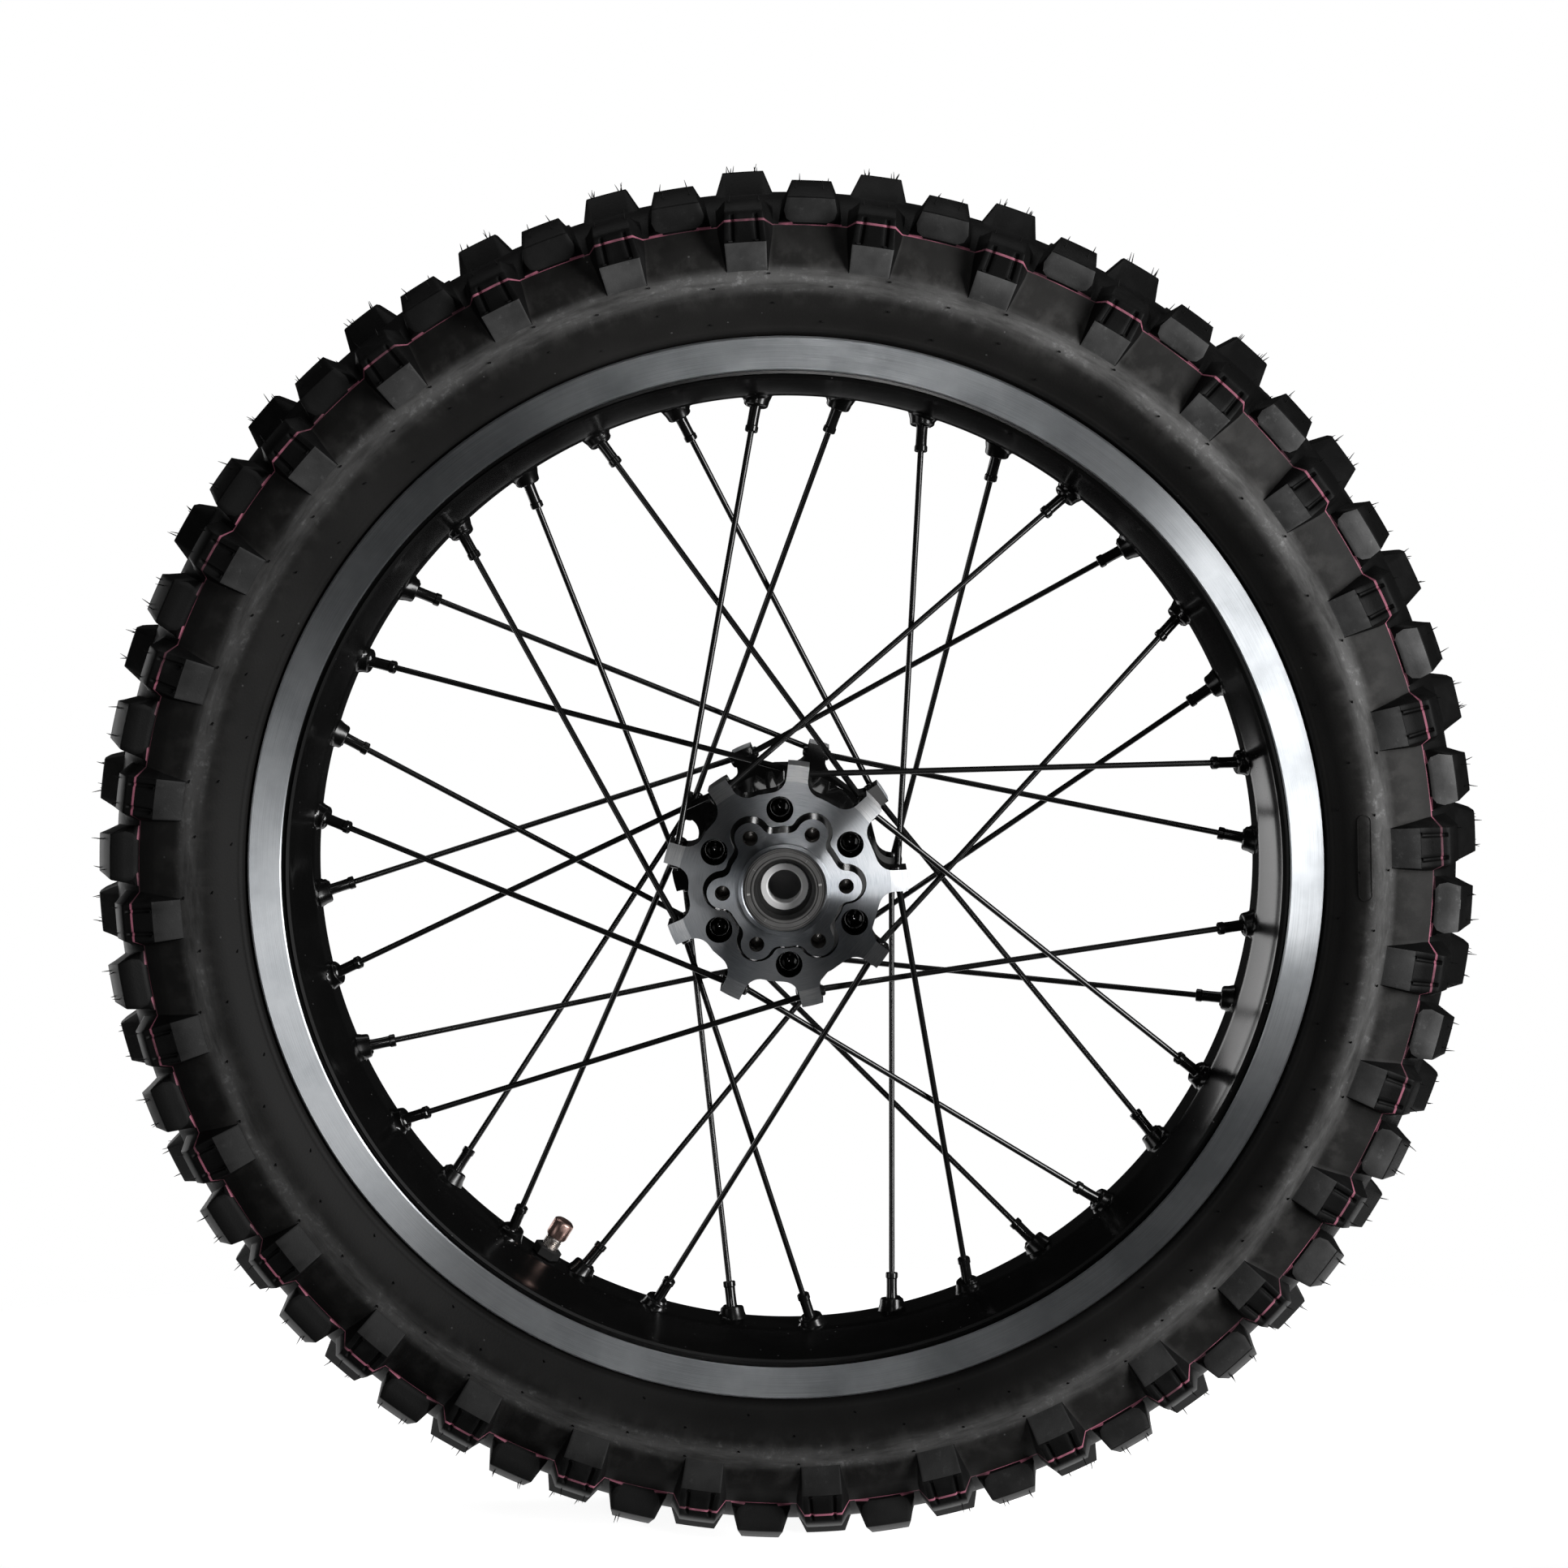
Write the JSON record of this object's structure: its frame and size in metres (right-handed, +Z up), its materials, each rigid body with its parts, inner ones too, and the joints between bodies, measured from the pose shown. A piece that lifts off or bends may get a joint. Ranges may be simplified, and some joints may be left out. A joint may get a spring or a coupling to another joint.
{
  "type": "spoked motorcycle wheel",
  "caption": "Off-road motorcycle rear wheel: knobbly tyre and tube on an aluminium rim, laced by straight-pull spokes to a sealed-bearing hub.",
  "frame": {"origin": "centre of the wheel, on the axle line, midway between the two hub flanges and in the rim's centre plane", "axes": "Y is the axle line with the brake-disc side facing -Y; +Z up; +X to the right when the wheel is seen from the disc side"},
  "size_m": [0.6342, 0.127, 0.6342],
  "materials": {
    "spacer_tube": "turned satin",
    "bearing_steel": "ground bright",
    "cage_steel": "pressed",
    "hub_metal": "machined, black anodised sides",
    "seal_steel": "pressed",
    "seal_rubber": "satin moulded",
    "spoke_black": "satin black",
    "nipple_black": "gloss black",
    "rim_black": "gloss black with machined side faces",
    "strip_rubber": "matt",
    "tube_rubber": "matt",
    "tyre_rubber": "matt, dusted",
    "valve_metal": "nickel plated",
    "valve_brass": "turned",
    "nut_black": "black zinc",
    "cap_metal": "turned, knurled"
  },
  "bodies": {
    "axle_core": {"bearing_spacer_tube": "spacer_tube", "inner_race_disc_side": "bearing_steel", "inner_race_sprocket_side": "bearing_steel"},
    "wheel": {"outer_race_disc_side": "bearing_steel", "outer_race_sprocket_side": "bearing_steel", "bearing_shields_disc_side": "seal_rubber", "bearing_shields_sprocket_side": "seal_rubber", "hub_body": "hub_metal", "seal_case_disc_side": "seal_steel", "seal_case_sprocket_side": "seal_steel", "seal_rubber_disc_side": "seal_rubber", "seal_rubber_sprocket_side": "seal_rubber", "garter_spring_disc_side": "seal_steel", "garter_spring_sprocket_side": "seal_steel", "spokes_disc_side_outer": "spoke_black", "spokes_disc_side_inner": "spoke_black", "spokes_sprocket_side_outer": "spoke_black", "spokes_sprocket_side_inner": "spoke_black", "nipples_disc_side": "nipple_black", "nipples_sprocket_side": "nipple_black", "rim": "rim_black", "rim_strip": "strip_rubber", "inner_tube": "tube_rubber", "tyre": "tyre_rubber", "valve_stem": "valve_metal", "valve_core": "valve_brass", "valve_nut": "nut_black", "valve_cap": "cap_metal"},
    "ball_set_disc_side": {"balls_disc_side": "bearing_steel", "ball_cage_disc_side": "cage_steel"},
    "ball_set_sprocket_side": {"balls_sprocket_side": "bearing_steel", "ball_cage_sprocket_side": "cage_steel"}
  },
  "joints": [
    {"name": "wheel_spin", "type": "hinge", "parent": "axle_core", "child": "wheel", "pos_m": [0, 0, 0], "axis": [0, -1, 0], "continuous": true},
    {"name": "ball_set_disc_side_turn", "type": "hinge", "parent": "axle_core", "child": "ball_set_disc_side", "pos_m": [0, 0, 0], "axis": [0, -1, 0], "continuous": true},
    {"name": "ball_set_sprocket_side_turn", "type": "hinge", "parent": "axle_core", "child": "ball_set_sprocket_side", "pos_m": [0, 0, 0], "axis": [0, -1, 0], "continuous": true}
  ],
  "couplings": [
    {"joint": "ball_set_disc_side_turn", "follows": "wheel_spin", "ratio": 0.619},
    {"joint": "ball_set_sprocket_side_turn", "follows": "wheel_spin", "ratio": 0.619}
  ]
}
